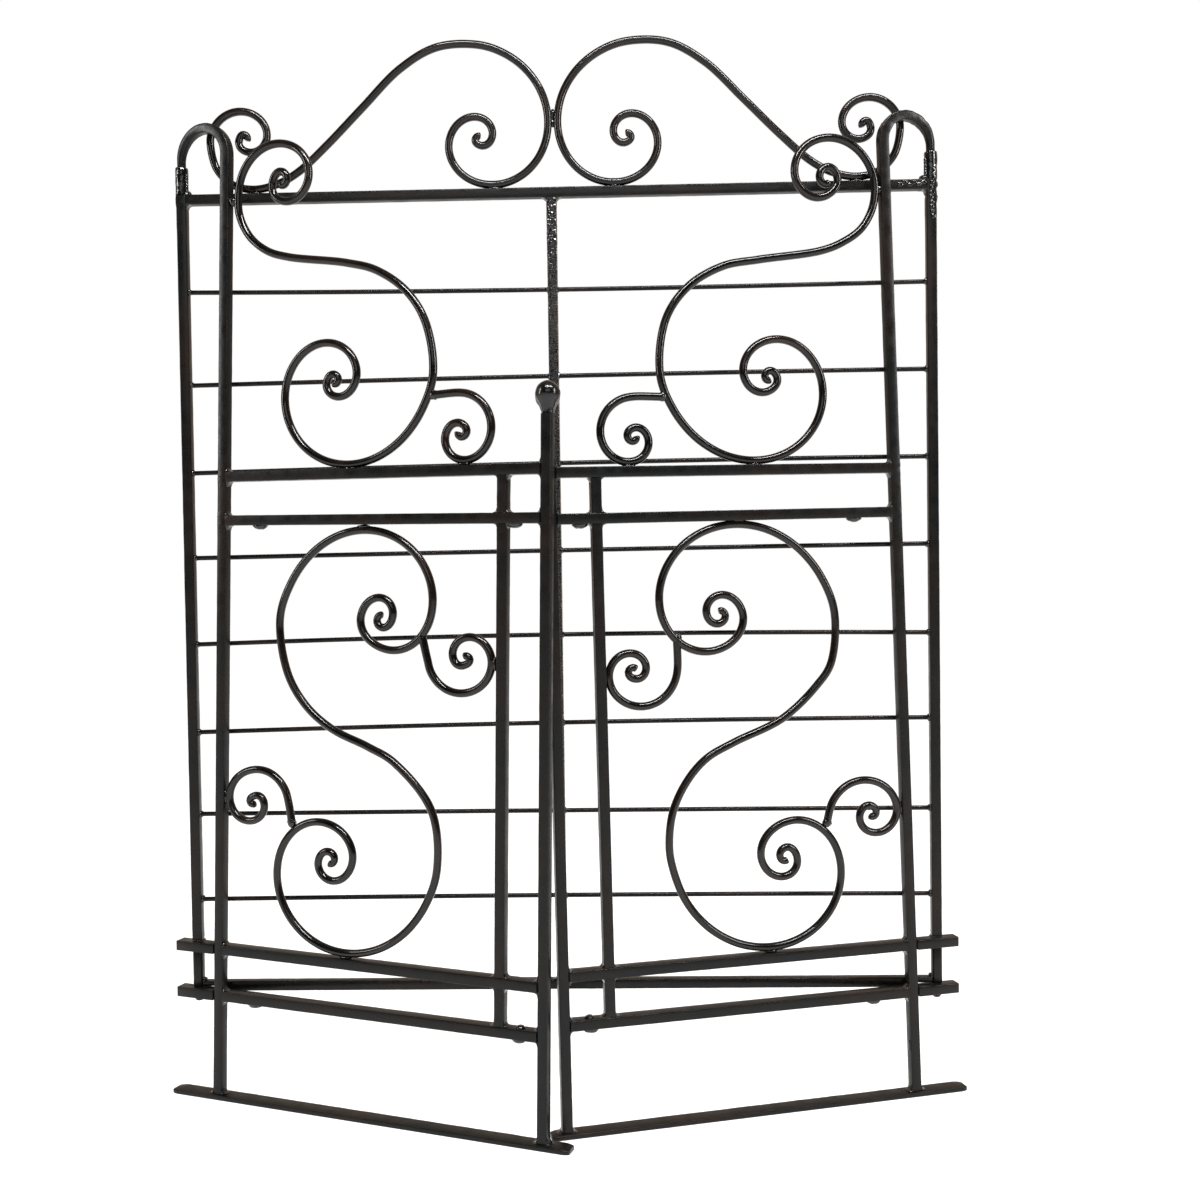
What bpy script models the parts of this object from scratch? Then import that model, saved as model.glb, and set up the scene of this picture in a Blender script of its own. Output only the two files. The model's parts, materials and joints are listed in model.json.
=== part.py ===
"""A pair of scrolled iron garden gates hung in front of a barred back frame.

Metres, +Z up, front towards -Y.  Two leaves turn on upright axes at the back frame's posts: a
spigot in a socket at the top, and two eyes round a turned pin at the bottom.  Each leaf is drawn
in its own upright plane: u runs from the hinge axis along the leaf, v comes forward out of it.
"""

import bmesh
import bpy
from math import asin, cos, pi, radians, sin, sqrt
from mathutils import Vector

# Stock
BAR = 0.0127
ROD = 0.010
RUNG = 0.006
RAIL_DEPTH = 0.016
EASED_EDGE = 0.0011
GAP = 0.0003
HALF_BAR = BAR / 2

# Back frame, as heights of centre lines
HINGE_HALF_SPAN = 0.480
TOP_RAIL_Z = 1.162
BOTTOM_RAIL_Z = 0.1415
BOTTOM_RAIL_SETBACK = 0.001
BOTTOM_RAIL_NOTCH = 0.030
RUNG_HOLE = 0.0068
CENTRE_BAR_X = -0.003
SOCKET_HEIGHT = 0.035
SOCKET_OUTER = 0.017
SOCKET_BORE = 0.0106

# Each rung bends a little: heights of its left end, its middle and its right end
RUNGS = [(1.0440, 1.0388, 1.0400), (0.9240, 0.9283, 0.9290), (0.8107, 0.8165, 0.8177),
         (0.7007, 0.7042, 0.7062), (0.5883, 0.5955, 0.5922), (0.4738, 0.4815, 0.4830),
         (0.3669, 0.3673, 0.3664), (0.2550, 0.2568, 0.2554)]
RUNG_STEPS = 8

# Leaves: the two are made by hand and differ slightly. Uprights: u at the foot, and lean
LEFT, RIGHT = -1, 1
REST_ANGLE = {LEFT: radians(-19.34), RIGHT: radians(15.54)}
SIDE_NAME = {LEFT: "left", RIGHT: "right"}
LEAF_FORWARD = 0.0055
HINGE_POST_U = {LEFT: 0.0328, RIGHT: 0.0343}
INNER_BAR_U = {LEFT: 0.4338, RIGHT: 0.4357}
STILE_U = {LEFT: 0.4902, RIGHT: 0.4924}
HINGE_POST_LEAN = {LEFT: 0.0343, RIGHT: 0.0287}
STILE_LEAN = {LEFT: 0.0225, RIGHT: 0.0117}

# Rails: heights of the centre line at the hinge post and at the meeting stile
UPPER_MID_Z = {LEFT: (0.8033, 0.7968), RIGHT: (0.8019, 0.7942)}
LOWER_MID_Z = {LEFT: (0.7479, 0.7399), RIGHT: (0.7464, 0.7390)}
UPPER_BOTTOM_Z = {LEFT: (0.1955, 0.1915), RIGHT: (0.1942, 0.1942)}
LOWEST_Z = {LEFT: (0.1350, 0.1330), RIGHT: (0.1340, 0.1347)}

# Scrolls are laid out on a grid that leans by the mean of the two leaves
GRID_U = (0.0335, 0.4910)
GRID_LEAN = (0.0315, 0.0170)

STILE_TOP = 0.860
BALL_Z = 0.883
BALL = 0.030
CROOK_SPRING_Z = 1.211
SPIGOT = 0.0096
SPIGOT_LENGTH = 0.030

# Feet
FOOT_THICKNESS = 0.006
FOOT_WIDTH = 0.022
FOOT_OUTER_U = -0.035
FOOT_INNER_U = {LEFT: 0.526, RIGHT: 0.512}
FOOT_CORNER = 0.005

# Lower hinge
ARM_TAIL_U = -0.025
EYE_RADIUS = 0.0095
EYE_HOLE = 0.0088
JOURNAL = 0.0080
RIVET_HEAD = 0.0120
RIVET_HEAD_HEIGHT = 0.0058

ROUND_SIDES = 16
ROD_BEVEL_STEPS = 1
MAX_BEND = radians(19)
MAX_CHORD = 0.060

PAINT = (0.017, 0.018, 0.018, 1.0)


# Materials and objects -------------------------------------------------------------------------

def clear_scene():
    for leftover in list(bpy.context.scene.objects):
        bpy.data.objects.remove(leftover, do_unlink=True)


def paint(name, roughness):
    """Black enamel brushed over iron."""
    material = bpy.data.materials.new(name + "_paint")
    material.use_nodes = True
    shader = material.node_tree.nodes["Principled BSDF"]
    shader.inputs["Base Color"].default_value = PAINT
    shader.inputs["Roughness"].default_value = roughness
    shader.inputs["Metallic"].default_value = 0.0
    return material


def add_empty(name, location, angle=0.0):
    empty = bpy.data.objects.new(name, None)
    empty.location = location
    empty.rotation_euler.z = angle
    bpy.context.collection.objects.link(empty)
    return empty


def add_object(name, data, parent, roughness=0.30):
    thing = bpy.data.objects.new(name, data)
    thing.data.materials.append(paint(name, roughness))
    thing.parent = parent
    bpy.context.collection.objects.link(thing)
    return thing


def mesh_from(name, bm):
    bmesh.ops.recalc_face_normals(bm, faces=bm.faces)
    mesh = bpy.data.meshes.new(name)
    bm.to_mesh(mesh)
    bm.free()
    return mesh


# Solids ----------------------------------------------------------------------------------------

def loft(name, rings, ring_shaped=False):
    """One skin over rings of equal length, capped at both ends or closed back on the first."""
    bm = bmesh.new()
    rows = [[bm.verts.new(point) for point in ring] for ring in rings]
    spans = list(zip(rows, rows[1:]))
    if ring_shaped:
        spans.append((rows[-1], rows[0]))
    else:
        bm.faces.new(rows[0])
        bm.faces.new(rows[-1])
    for first, second in spans:
        for i in range(len(first)):
            j = (i + 1) % len(first)
            bm.faces.new((first[i], first[j], second[j], second[i]))
    return mesh_from(name, bm)


def extrude_plan(name, outline, low, high):
    """An upright prism over a plan outline."""
    return loft(name, [[Vector((x, y, z)) for x, y in outline] for z in (low, high)])


def eased_rectangle(half_a, half_b, ease=EASED_EDGE):
    """Eight corners of a bar section, its four edges eased."""
    a, b = half_a - ease, half_b - ease
    return [(half_a, -b), (half_a, b), (a, half_b), (-a, half_b),
            (-half_a, b), (-half_a, -b), (-a, -half_b), (a, -half_b)]


def circle(radius, z, centre=(0.0, 0.0), sides=ROUND_SIDES):
    corners = []
    for i in range(sides):
        angle = 2 * pi * (i + 0.5) / sides
        corners.append(Vector((centre[0] + radius * cos(angle), centre[1] + radius * sin(angle), z)))
    return corners


def square_as_circle(half, z, sides=ROUND_SIDES):
    """A square outline with as many points as a circle, so that the two can be lofted."""
    corners = []
    for point in circle(1.0, z, sides=sides):
        reach = half / max(abs(point.x), abs(point.y))
        corners.append(Vector((point.x * reach, point.y * reach, z)))
    return corners


def cut(target, name, cutter_mesh, parent):
    """A hole: the cutter stays as a wire guide."""
    cutter = bpy.data.objects.new(name, cutter_mesh)
    cutter.parent = parent
    cutter.display_type = "WIRE"
    cutter.hide_render = True
    bpy.context.collection.objects.link(cutter)
    hole = target.modifiers.new("hole", "BOOLEAN")
    hole.operation = "DIFFERENCE"
    hole.solver = "EXACT"
    hole.object = cutter


# Curves ----------------------------------------------------------------------------------------

def polar(centre, radius, degrees):
    return Vector((centre[0] + radius * cos(radians(degrees)), centre[1] + radius * sin(radians(degrees))))


def cubic_between(a, b, c, d, t):
    """Uniform Catmull-Rom value between b and c."""
    bend, twist = 2 * a - 5 * b + 4 * c - d, 3 * b - a - 3 * c + d
    return 0.5 * (2 * b + (c - a) * t + bend * t * t + twist * t ** 3)


def coil(centre, start, turn, radii, steps=4):
    """A scroll's end, from the eye outwards: its radius is stated at each quarter turn."""
    ends = [2 * radii[0] - radii[1], *radii, 2 * radii[-1] - radii[-2]]
    points = []
    for quarter in range(len(radii) - 1):
        for step in range(steps):
            t = step / steps
            radius = cubic_between(*ends[quarter:quarter + 4], t)
            points.append(polar(centre, radius, start + turn * 90 * (quarter + t)))
    points.append(polar(centre, radii[-1], start + turn * 90 * (len(radii) - 1)))
    return points


def smooth_through(points, spacing=0.001):
    """A fine polyline on the centripetal Catmull-Rom curve through the points."""
    ends = [2 * points[0] - points[1], *points, 2 * points[-1] - points[-2]]
    fine = []
    for p0, p1, p2, p3 in zip(ends, ends[1:], ends[2:], ends[3:]):
        k1 = sqrt((p1 - p0).length)
        k2 = k1 + sqrt((p2 - p1).length)
        k3 = k2 + sqrt((p3 - p2).length)
        count = max(2, round((p2 - p1).length / spacing))
        for i in range(count):
            k = k1 + (k2 - k1) * i / count
            a1 = p0 * ((k1 - k) / k1) + p1 * (k / k1)
            a2 = p1 * ((k2 - k) / (k2 - k1)) + p2 * ((k - k1) / (k2 - k1))
            a3 = p2 * ((k3 - k) / (k3 - k2)) + p3 * ((k - k2) / (k3 - k2))
            b1 = a1 * ((k2 - k) / k2) + a2 * (k / k2)
            b2 = a2 * ((k3 - k) / (k3 - k1)) + a3 * ((k - k1) / (k3 - k1))
            fine.append(b1 * ((k2 - k) / (k2 - k1)) + b2 * ((k - k1) / (k2 - k1)))
    fine.append(points[-1].copy())
    return fine


def thin_out(fine):
    """Only the points that the bend needs: close together where it is tight."""
    kept = [fine[0]]
    heading = fine[1] - fine[0]
    for here, after in zip(fine[1:], fine[2:]):
        turned = heading.angle(after - here)
        if turned > MAX_BEND or (here - kept[-1]).length > MAX_CHORD:
            kept.append(here)
            heading = after - here
    kept.append(fine[-1])
    return kept


def clear_of(path, other, reach=ROD + GAP):
    """The path up to where its rod would meet the other rod, to which it is welded."""
    for i, point in enumerate(path):
        if min((point - far).length for far in other) < reach:
            return path[:i]
    return path


def rod_curve(name, points):
    """A round rod along points in space."""
    curve = bpy.data.curves.new(name, "CURVE")
    curve.dimensions = "3D"
    curve.bevel_depth = ROD / 2
    curve.bevel_resolution = ROD_BEVEL_STEPS
    curve.use_fill_caps = True
    spline = curve.splines.new("POLY")
    spline.points.add(len(points) - 1)
    for place, point in zip(spline.points, points):
        place.co = (*point, 1.0)
        place.radius = 1.0
    spline.use_smooth = True
    return curve


# Scrolls: eye centre, where the first radius points, turn (+1 anticlockwise), quarter-turn radii -

LOWER_S_UPPER_COIL = {
    LEFT: ((0.271, 0.623), [0.011, 0.015, 0.025, 0.030, 0.036, 0.068, 0.105, 0.149]),
    RIGHT: ((0.277, 0.622), [0.011, 0.017, 0.0235, 0.0306, 0.042, 0.0757, 0.107, 0.1545]),
}
LOWER_S_LOWER_COIL = {
    LEFT: ((0.197, 0.321), [0.0105, 0.016, 0.025, 0.033, 0.045, 0.075, 0.112, 0.152]),
    RIGHT: ((0.199, 0.318), [0.012, 0.0135, 0.0235, 0.034, 0.0435, 0.070, 0.108, 0.151]),
}
LOWER_S_WAIST = {
    LEFT: [(0.133, 0.556), (0.160, 0.515), (0.199, 0.486), (0.252, 0.465), (0.289, 0.447), (0.341, 0.391)],
    RIGHT: [(0.1295, 0.558), (0.150, 0.5305), (0.198, 0.491), (0.264, 0.464), (0.3005, 0.446),
            (0.3265, 0.420), (0.346, 0.384), (0.3525, 0.345)],
}
TOP_S_UPPER_COIL = {
    LEFT: ((0.120, 1.167), [0.0125, 0.0125, 0.023, 0.042, 0.047, 0.064]),
    RIGHT: ((0.1087, 1.1587), [0.0155, 0.0125, 0.0175, 0.046, 0.0515, 0.0643]),
}
TOP_S_LOWER_COIL = {
    LEFT: ((0.201, 0.915), [0.0085, 0.0105, 0.018, 0.032, 0.046, 0.071, 0.1003, 0.141]),
    RIGHT: ((0.1996, 0.9121), [0.0085, 0.0105, 0.0158, 0.0341, 0.0458, 0.0704, 0.0988, 0.1445]),
}
TOP_S_WAIST = {
    LEFT: [(0.056, 1.135), (0.072, 1.105), (0.099, 1.084), (0.132, 1.073), (0.218, 1.058),
           (0.262, 1.045), (0.305, 1.016), (0.332, 0.976)],
    RIGHT: [(0.048, 1.129), (0.065, 1.101), (0.092, 1.0825), (0.123, 1.0705), (0.210, 1.0557),
            (0.257, 1.046), (0.3045, 1.019), (0.335, 0.978)],
}
SMALL_UPPER_COIL = {
    LEFT: ((0.386, 0.574), [0.007, 0.015, 0.026, 0.036, 0.040, 0.051]),
    RIGHT: ((0.388, 0.555), [0.0085, 0.0125, 0.0215, 0.0336, 0.0416, 0.0533]),
}
SMALL_UPPER_END = {LEFT: (0.326, 0.605), RIGHT: (0.334, 0.594)}
SMALL_LOWER_COIL = {
    LEFT: ((0.084, 0.390), [0.007, 0.014, 0.025, 0.038, 0.040, 0.052]),
    RIGHT: ((0.0827, 0.3653), [0.0105, 0.0145, 0.0236, 0.0367, 0.0423, 0.0581]),
}
SMALL_LOWER_END = {LEFT: (0.141, 0.363), RIGHT: (0.143, 0.356)}
MID_C_COIL = {
    LEFT: ((0.380, 0.8435), [0.008, 0.011, 0.020, 0.032, 0.041, 0.047]),
    RIGHT: ((0.3808, 0.8373), [0.008, 0.011, 0.018, 0.0288, 0.042, 0.0482]),
}
MID_C_END = {LEFT: (0.342, 0.892), RIGHT: (0.341, 0.887)}


def big_lower_s(side):
    upper_centre, upper_radii = LOWER_S_UPPER_COIL[side]
    lower_centre, lower_radii = LOWER_S_LOWER_COIL[side]
    upper, lower = coil(upper_centre, 270, 1, upper_radii), coil(lower_centre, 90, 1, lower_radii)
    return smooth_through(upper + [Vector(p) for p in LOWER_S_WAIST[side]] + lower[::-1])


def big_top_s(side):
    upper_centre, upper_radii = TOP_S_UPPER_COIL[side]
    lower_centre, lower_radii = TOP_S_LOWER_COIL[side]
    upper, lower = coil(upper_centre, 90, 1, upper_radii), coil(lower_centre, 90, 1, lower_radii)
    return smooth_through(upper + [Vector(p) for p in TOP_S_WAIST[side]] + lower[::-1])


def small_upper_c(side, main):
    centre, radii = SMALL_UPPER_COIL[side]
    return clear_of(smooth_through(coil(centre, 270, -1, radii) + [Vector(SMALL_UPPER_END[side])]), main)


def small_lower_c(side, main):
    centre, radii = SMALL_LOWER_COIL[side]
    return clear_of(smooth_through(coil(centre, 90, -1, radii) + [Vector(SMALL_LOWER_END[side])]), main)


def mid_c(side, main):
    centre, radii = MID_C_COIL[side]
    return clear_of(smooth_through(coil(centre, 0, 1, radii) + [Vector(MID_C_END[side])]), main)


def pediment():
    """The left one: its big coil meets its mirror image in the middle of the top rail."""
    inner = coil((-0.094, 1.232), 270, 1, [0.007, 0.015, 0.028, 0.039, 0.056, 0.0855, 0.120])
    outer = coil((-0.398, 1.238), 180, 1, [0.0065, 0.014, 0.029, 0.036, 0.044])
    slope = [(-0.148, 1.350), (-0.195, 1.324), (-0.245, 1.275), (-0.291, 1.229), (-0.328, 1.196),
             (-0.355, 1.181), (-0.385, 1.1745), (-0.412, 1.180), (-0.434, 1.201)]
    return smooth_through(inner + [Vector(p) for p in slope] + outer[::-1])


# Back frame ------------------------------------------------------------------------------------

def flat_rail(name, parent, x_low, x_high, z):
    section = eased_rectangle(HALF_BAR, HALF_BAR)
    rings = [[Vector((x, across, z + up)) for across, up in section] for x in (x_low, x_high)]
    return add_object(name, loft(name, rings), parent)


def upright(name, parent, x, z_low, z_high):
    section = eased_rectangle(HALF_BAR, HALF_BAR)
    rings = [[Vector((x + a, b, z)) for a, b in section] for z in (z_low, z_high)]
    return add_object(name, loft(name, rings), parent)


def rung_height(ends, x):
    """Height of a rung's centre line at x: a shallow curve through its two ends and its middle."""
    left, middle, right = ends
    along = x / HINGE_HALF_SPAN
    return middle + (right - left) / 2 * along + ((left + right) / 2 - middle) * along * along


def rung_rods(name, radius, stations, curves, sides=8):
    """Round rods across the frame, one along each curve, in one mesh."""
    bm = bmesh.new()
    turns = [2 * pi * (i + 0.5) / sides for i in range(sides)]
    for curve in curves:
        rings = []
        for x in stations:
            z = rung_height(curve, x)
            rings.append([bm.verts.new((x, radius * cos(a), z + radius * sin(a))) for a in turns])
        bm.faces.new(rings[0])
        bm.faces.new(rings[-1])
        for first, second in zip(rings, rings[1:]):
            for i in range(sides):
                j = (i + 1) % sides
                bm.faces.new((first[i], first[j], second[j], second[i]))
    mesh = mesh_from(name, bm)
    mesh.shade_smooth()
    mesh.set_sharp_from_angle(angle=radians(50))
    return mesh


def build_bottom_rail(frame, inside):
    """Its ends are notched from below, to clear the leaves' lower arms."""
    section = eased_rectangle(HALF_BAR, HALF_BAR)
    full_low = BOTTOM_RAIL_Z - HALF_BAR
    notch_x = HINGE_HALF_SPAN - BOTTOM_RAIL_NOTCH
    rings = []
    for x, side in ((-inside, LEFT), (-notch_x, LEFT), (-notch_x + 0.001, None),
                    (notch_x - 0.001, None), (notch_x, RIGHT), (inside, RIGHT)):
        low = full_low if side is None else LOWEST_Z[side][0] + HALF_BAR + GAP
        squeeze = (BOTTOM_RAIL_Z + HALF_BAR - low) / BAR
        middle = (BOTTOM_RAIL_Z + HALF_BAR + low) / 2
        y = BOTTOM_RAIL_SETBACK
        rings.append([Vector((x, y + across, middle + up * squeeze)) for across, up in section])
    add_object("back_bottom_rail", loft("back_bottom_rail", rings), frame)


def build_centre_bar(frame):
    low = BOTTOM_RAIL_Z + HALF_BAR + GAP
    high = TOP_RAIL_Z - HALF_BAR - GAP
    bar = upright("back_centre_bar", frame, CENTRE_BAR_X, low, high)
    span = (CENTRE_BAR_X - BAR, CENTRE_BAR_X + BAR)
    cutter = rung_rods("rung_holes", RUNG_HOLE / 2, span, RUNGS)
    cut(bar, "rung_holes", cutter, frame)


def build_socket(frame, side):
    """A short tube on the post's top, which takes the leaf's spigot."""
    x = side * HINGE_HALF_SPAN
    low = TOP_RAIL_Z + HALF_BAR + GAP
    high = low + SOCKET_HEIGHT
    rings = [circle(SOCKET_OUTER / 2, low, (x, 0)), circle(SOCKET_OUTER / 2, high, (x, 0)),
             circle(SOCKET_BORE / 2, high, (x, 0)), circle(SOCKET_BORE / 2, low, (x, 0))]
    name = "back_socket_" + SIDE_NAME[side]
    add_object(name, loft(name, rings, ring_shaped=True), frame)


def build_lower_pivot(frame, side):
    """The post's foot between the leaf's two eyes, turned down to a journal in each."""
    upper_eye_top = UPPER_BOTTOM_Z[side][0] + HALF_BAR
    upper_eye_low = UPPER_BOTTOM_Z[side][0] - HALF_BAR
    lower_eye_top = LOWEST_Z[side][0] + HALF_BAR
    lower_eye_low = LOWEST_Z[side][0] - HALF_BAR
    head_top = lower_eye_low - GAP
    stub_low, stub_high = lower_eye_top + GAP, upper_eye_low - GAP
    journal, head = JOURNAL / 2, RIVET_HEAD / 2
    rings = [circle(head * 0.7, head_top - RIVET_HEAD_HEIGHT),
             circle(head, head_top - RIVET_HEAD_HEIGHT / 2),
             circle(head, head_top), circle(journal, head_top), circle(journal, stub_low),
             square_as_circle(HALF_BAR, stub_low), square_as_circle(HALF_BAR, stub_high),
             circle(journal, stub_high), circle(journal, upper_eye_top)]
    name = "lower_pivot_" + SIDE_NAME[side]
    pin = add_object(name, loft(name, rings), frame)
    pin.location.x = side * HINGE_HALF_SPAN


def build_back_frame():
    frame = add_empty("back_frame_centre", (0, 0, 0))
    inside = HINGE_HALF_SPAN - HALF_BAR - GAP
    for side in (LEFT, RIGHT):
        post_low = UPPER_BOTTOM_Z[side][0] + HALF_BAR + 2 * GAP
        name = "back_post_" + SIDE_NAME[side]
        upright(name, frame, side * HINGE_HALF_SPAN, post_low, TOP_RAIL_Z + HALF_BAR)
        build_socket(frame, side)
        build_lower_pivot(frame, side)
        points = [Vector((-side * p.x, 0, p.y)) for p in thin_out(pediment())]
        name = "pediment_scroll_" + SIDE_NAME[side]
        add_object(name, rod_curve(name, points), frame)
    flat_rail("back_top_rail", frame, -inside, inside, TOP_RAIL_Z)
    build_bottom_rail(frame, inside)
    build_centre_bar(frame)
    stations = [inside * (2 * step / RUNG_STEPS - 1) for step in range(RUNG_STEPS + 1)]
    for i, curve in enumerate(RUNGS):
        name = f"back_rung_{i + 1}"
        add_object(name, rung_rods(name, RUNG / 2, stations, [curve]), frame)
    return frame


# Leaves ----------------------------------------------------------------------------------------

def leaned(u, z, ends, leans):
    """u of a point at height z, on a line that starts at u and leans as its place between the ends says."""
    share = (u - ends[0]) / (ends[1] - ends[0])
    return u + z * (leans[0] + (leans[1] - leans[0]) * share)


class Leaf:
    """One leaf's empty on its hinge axis, and points in its plane."""

    def __init__(self, side):
        self.side = side
        self.tag = SIDE_NAME[side] + "_"
        place = (side * HINGE_HALF_SPAN, 0, 0)
        self.empty = add_empty(self.tag + "leaf_hinge_axis", place, REST_ANGLE[side])
        self.post_u, self.bar_u, self.stile_u = HINGE_POST_U[side], INNER_BAR_U[side], STILE_U[side]

    def leaned(self, u, z):
        """The leaf's uprights lean: the hinge post most, the meeting stile least."""
        ends, leans = (self.post_u, self.stile_u), (HINGE_POST_LEAN[self.side], STILE_LEAN[self.side])
        return leaned(u, z, ends, leans)

    def point(self, u, v, z):
        """u already leaned"""
        return Vector((-self.side * u, -v, z))

    def height(self, rail, u):
        """Height of a rail's centre line at u."""
        at_post, at_stile = rail[self.side]
        return at_post + (at_stile - at_post) * (u - self.post_u) / (self.stile_u - self.post_u)

    def add(self, name, data):
        return add_object(self.tag + name, data, self.empty)

    def rail(self, name, heights):
        """From the hinge post to the meeting stile, its ends cut to their lean."""
        section = eased_rectangle(RAIL_DEPTH / 2, HALF_BAR)
        rings = []
        for u, off in ((self.post_u, HALF_BAR + GAP), (self.stile_u, -HALF_BAR - GAP)):
            z = self.height(heights, u)
            ring = [(self.leaned(u, z + up) + off, LEAF_FORWARD + v, z + up) for v, up in section]
            rings.append([self.point(*corner) for corner in ring])
        self.add(name, loft(self.tag + name, rings))

    def bar(self, name, u, z_low, z_high):
        section = eased_rectangle(HALF_BAR, HALF_BAR)
        rings = []
        for z in (z_low, z_high):
            rings.append([self.point(self.leaned(u, z) + a, LEAF_FORWARD + b, z) for a, b in section])
        self.add(name, loft(self.tag + name, rings))

    def scroll(self, name, path):
        flat = [(leaned(p.x, p.y, GRID_U, GRID_LEAN), p.y) for p in thin_out(path)]
        points = [self.point(u, LEAF_FORWARD, z) for u, z in flat]
        self.add(name, rod_curve(self.tag + name, points))


def build_hinge_post(leaf):
    """Foot to crook in one bar: it bends over to the hinge axis and ends in a round spigot."""
    spring_u = leaf.leaned(leaf.post_u, CROOK_SPRING_Z)
    foot_z = FOOT_THICKNESS + GAP
    radius = spring_u / 2
    shoulder_z = TOP_RAIL_Z + HALF_BAR + GAP + SOCKET_HEIGHT + 2 * GAP
    neck = SPIGOT / 2 + 0.0007
    section = eased_rectangle(HALF_BAR, HALF_BAR)
    foot_u = leaf.leaned(leaf.post_u, foot_z)
    rings = [[leaf.point(foot_u + a, LEAF_FORWARD + b, foot_z) for a, b in section]]
    bends = 10
    for i in range(bends + 1):
        share = i / bends
        angle = pi * share
        half = HALF_BAR + (neck - HALF_BAR) * share
        ease = EASED_EDGE + (half * (2 - sqrt(2)) - EASED_EDGE) * share ** 3
        forward = LEAF_FORWARD * (1 + cos(angle)) / 2
        ring = []
        for a, b in eased_rectangle(half, half, ease):
            reach = radius + a
            z = CROOK_SPRING_Z + reach * sin(angle)
            ring.append(leaf.point(radius + reach * cos(angle), forward + b, z))
        rings.append(ring)
    for half, z in ((neck, shoulder_z), (SPIGOT / 2 * cos(pi / 8), shoulder_z),
                    (SPIGOT / 2 * cos(pi / 8), shoulder_z - SPIGOT_LENGTH)):
        rings.append([leaf.point(-a, b, z) for a, b in eased_rectangle(half, half, half * (2 - sqrt(2)))])
    leaf.add("hinge_post", loft(leaf.tag + "hinge_post", rings))


def build_ball_finial(leaf):
    """A ball on a short neck that starts as the stile's square."""
    centre = leaf.point(leaf.leaned(leaf.stile_u, BALL_Z), LEAF_FORWARD, 0)
    neck_z = STILE_TOP + GAP
    radius = BALL / 2
    rings = [square_as_circle(HALF_BAR, neck_z)]
    for degrees in range(-60, 90, 20):
        rings.append(circle(radius * cos(radians(degrees)), BALL_Z + radius * sin(radians(degrees))))
    rings.append(circle(0.001, BALL_Z + radius))
    for ring in rings:
        for corner in ring:
            corner.x += centre.x
            corner.y += centre.y
    mesh = loft(leaf.tag + "ball_finial", rings)
    mesh.shade_smooth()
    mesh.set_sharp_from_angle(angle=radians(50))
    leaf.add("ball_finial", mesh)


def build_pivot_arm(leaf, name, z):
    """A tail past the hinge post, with an eye round the hinge axis."""
    rear, front = LEAF_FORWARD - RAIL_DEPTH / 2, LEAF_FORWARD + RAIL_DEPTH / 2
    root_u = leaf.leaned(leaf.post_u, z - HALF_BAR) - HALF_BAR - GAP
    outline = [(root_u, front), (root_u, rear)]
    first = asin(rear / EYE_RADIUS)
    last = -pi - first
    steps = 10
    for i in range(steps + 1):
        angle = first + (last - first) * i / steps
        outline.append((EYE_RADIUS * cos(angle), EYE_RADIUS * sin(angle)))
    outline += [(ARM_TAIL_U, rear), (ARM_TAIL_U, front)]
    plan = [(-leaf.side * u, -v) for u, v in outline]
    mesh = extrude_plan(leaf.tag + name, plan, z - HALF_BAR, z + HALF_BAR)
    arm = leaf.add(name, mesh)
    cutter = leaf.tag + name + "_hole"
    hole = loft(cutter, [circle(EYE_HOLE / 2, z - BAR), circle(EYE_HOLE / 2, z + BAR)])
    cut(arm, cutter, hole, leaf.empty)


def build_foot_bar(leaf):
    near, far = FOOT_OUTER_U, FOOT_INNER_U[leaf.side]
    middle, half = (near + far) / 2, (far - near) / 2
    corners = eased_rectangle(half, FOOT_WIDTH / 2, FOOT_CORNER)
    plan = [(-leaf.side * (middle + a), -(LEAF_FORWARD + b)) for a, b in corners]
    leaf.add("foot_bar", extrude_plan(leaf.tag + "foot_bar", plan, 0, FOOT_THICKNESS))


def build_leaf(side):
    leaf = Leaf(side)
    build_hinge_post(leaf)
    leaf.bar("meeting_stile", leaf.stile_u, FOOT_THICKNESS + GAP, STILE_TOP)
    build_ball_finial(leaf)
    clear = HALF_BAR + GAP
    spans = {"upper": (LOWER_MID_Z, UPPER_MID_Z), "middle": (UPPER_BOTTOM_Z, LOWER_MID_Z),
             "lower": (LOWEST_Z, UPPER_BOTTOM_Z)}
    for name, (below, above) in spans.items():
        low = leaf.height(below, leaf.bar_u) + clear
        leaf.bar("inner_bar_" + name, leaf.bar_u, low, leaf.height(above, leaf.bar_u) - clear)
    leaf.rail("upper_mid_rail", UPPER_MID_Z)
    leaf.rail("lower_mid_rail", LOWER_MID_Z)
    leaf.rail("upper_bottom_rail", UPPER_BOTTOM_Z)
    leaf.rail("lowest_rail", LOWEST_Z)
    build_pivot_arm(leaf, "upper_pivot_arm", UPPER_BOTTOM_Z[side][0])
    build_pivot_arm(leaf, "lower_pivot_arm", LOWEST_Z[side][0])
    build_foot_bar(leaf)
    top, lower = big_top_s(side), big_lower_s(side)
    leaf.scroll("top_scroll", top)
    leaf.scroll("mid_c_scroll", mid_c(side, top))
    leaf.scroll("lower_s_scroll", lower)
    leaf.scroll("small_upper_scroll", small_upper_c(side, lower))
    leaf.scroll("small_lower_scroll", small_lower_c(side, lower))
    return leaf.empty


# Origin ----------------------------------------------------------------------------------------

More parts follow.
